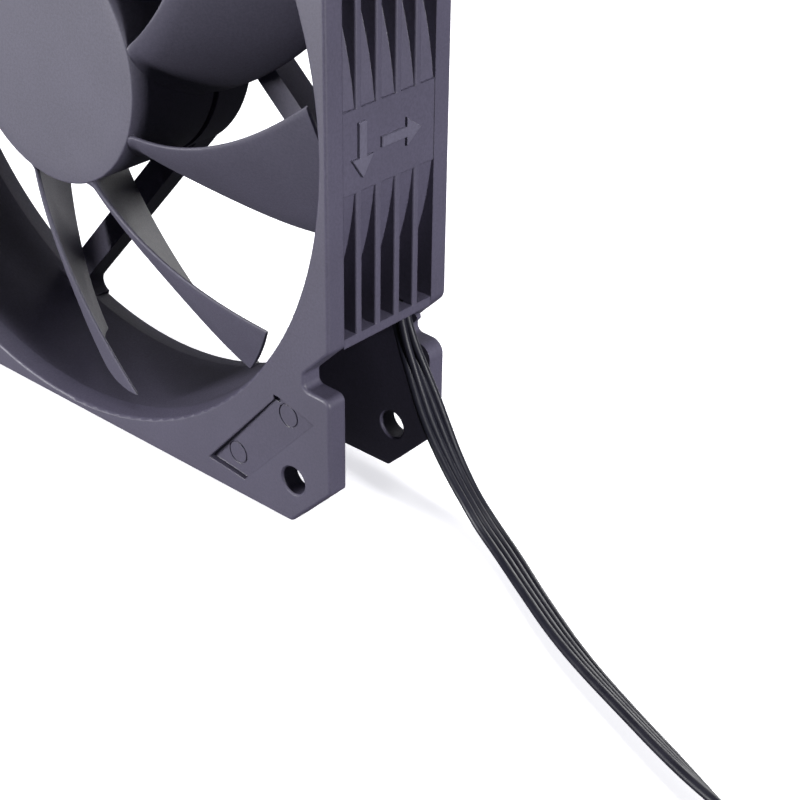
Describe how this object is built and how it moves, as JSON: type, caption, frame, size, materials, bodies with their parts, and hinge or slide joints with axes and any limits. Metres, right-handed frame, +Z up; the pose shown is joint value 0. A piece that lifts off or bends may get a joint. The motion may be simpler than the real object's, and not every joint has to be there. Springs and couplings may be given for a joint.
{
  "type": "case fan",
  "caption": "Square axial case fan with swept blades in a flanged ribbed frame, tangential rear struts, and a flat ribbon lead ending in a keyed plug.",
  "frame": {"origin": "middle of the bottom edge of the square frame, standing on its edge", "axes": "+Y along the fan axis from intake to exhaust, +Z up, +X to the right seen from the intake side"},
  "size_m": [0.2761, 0.0412, 0.12],
  "materials": {
    "frame_plastic": "fine-grained black moulded plastic",
    "impeller_plastic": "satin black moulded plastic",
    "steel": "drawn and ground steel",
    "magnet": "bonded ferrite",
    "nylon": "natural nylon",
    "brass": "turned brass",
    "bronze": "sintered bronze",
    "lamination": "stacked steel laminations",
    "bobbin": "glass-filled plastic",
    "copper": "enamelled copper wire",
    "board": "solder-masked laminate",
    "chip": "moulded epoxy",
    "capacitor_can": "drawn aluminium can",
    "label": "printed film without lettering",
    "wire": "black vinyl insulation",
    "grommet": "soft black rubber",
    "tie": "black coated twist tie",
    "plug_plastic": "black nylon",
    "contact": "tin-plated crimp contact"
  },
  "bodies": {
    "root": {"frame": "frame_plastic", "bearing_tube": "brass", "sleeve_bearing": "bronze", "oil_seal": "nylon", "thrust_pad": "nylon", "bearing_cap": "nylon", "stator_core": "lamination", "front_insulator": "bobbin", "rear_insulator": "bobbin", "winding_1": "copper", "winding_2": "copper", "winding_3": "copper", "winding_4": "copper", "terminal_pins": "brass", "circuit_board": "board", "driver_chip": "chip", "hall_sensor": "chip", "capacitor": "capacitor_can", "rear_label": "label", "inner_lead": "wire", "strain_relief": "grommet", "cable": "wire", "cable_hank": "wire", "cable_end": "wire", "hank_tie": "tie", "plug_housing": "plug_plastic", "plug_contacts": "contact"},
    "rotor": {"impeller": "impeller_plastic", "rotor_yoke": "steel", "magnet_ring": "magnet", "shaft": "steel", "retaining_clip": "nylon"}
  },
  "joints": [
    {"name": "rotor_spin", "type": "hinge", "parent": "root", "child": "rotor", "pos_m": [0, 0, 0.06], "axis": [0, -1, 0], "continuous": true}
  ]
}
